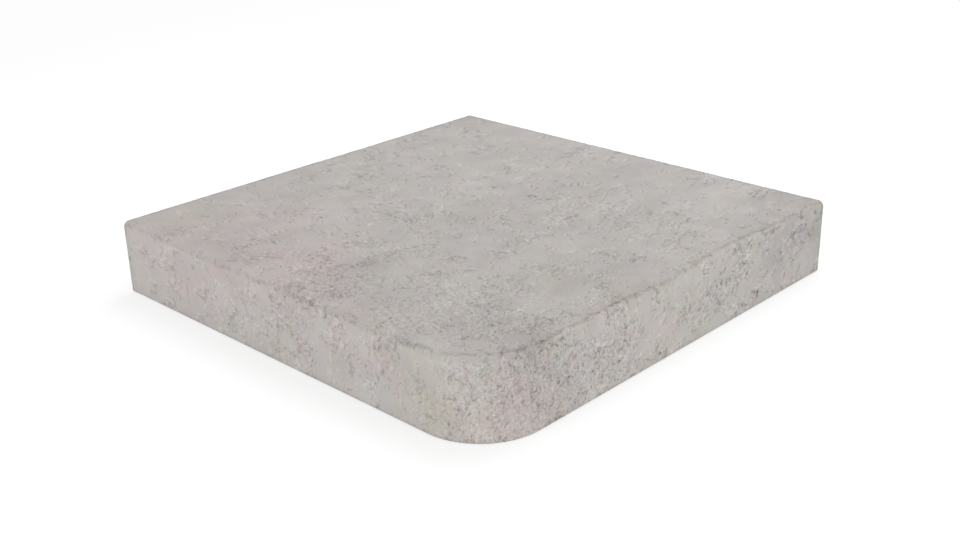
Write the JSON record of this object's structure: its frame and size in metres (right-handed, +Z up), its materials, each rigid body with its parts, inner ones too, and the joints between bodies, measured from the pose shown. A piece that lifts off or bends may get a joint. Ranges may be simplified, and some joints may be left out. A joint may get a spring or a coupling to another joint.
{
  "type": "clinker stair tread",
  "caption": "Square outside-corner stair tread in fired clinker: flat plate with a lip turned down along two sides, one rounded corner and a keyed underside.",
  "frame": {"origin": "middle of the square footprint, level with the foot of the lip, which stands on the floor", "axes": "+Z up, out of the walking face; the rounded corner points to -X -Y; +X and +Y point out of the two sawn joint faces at the back"},
  "size_m": [0.325, 0.325, 0.05],
  "materials": {
    "clinker": "matte"
  },
  "bodies": {
    "root": {"stair_tread": "clinker"}
  },
  "joints": []
}
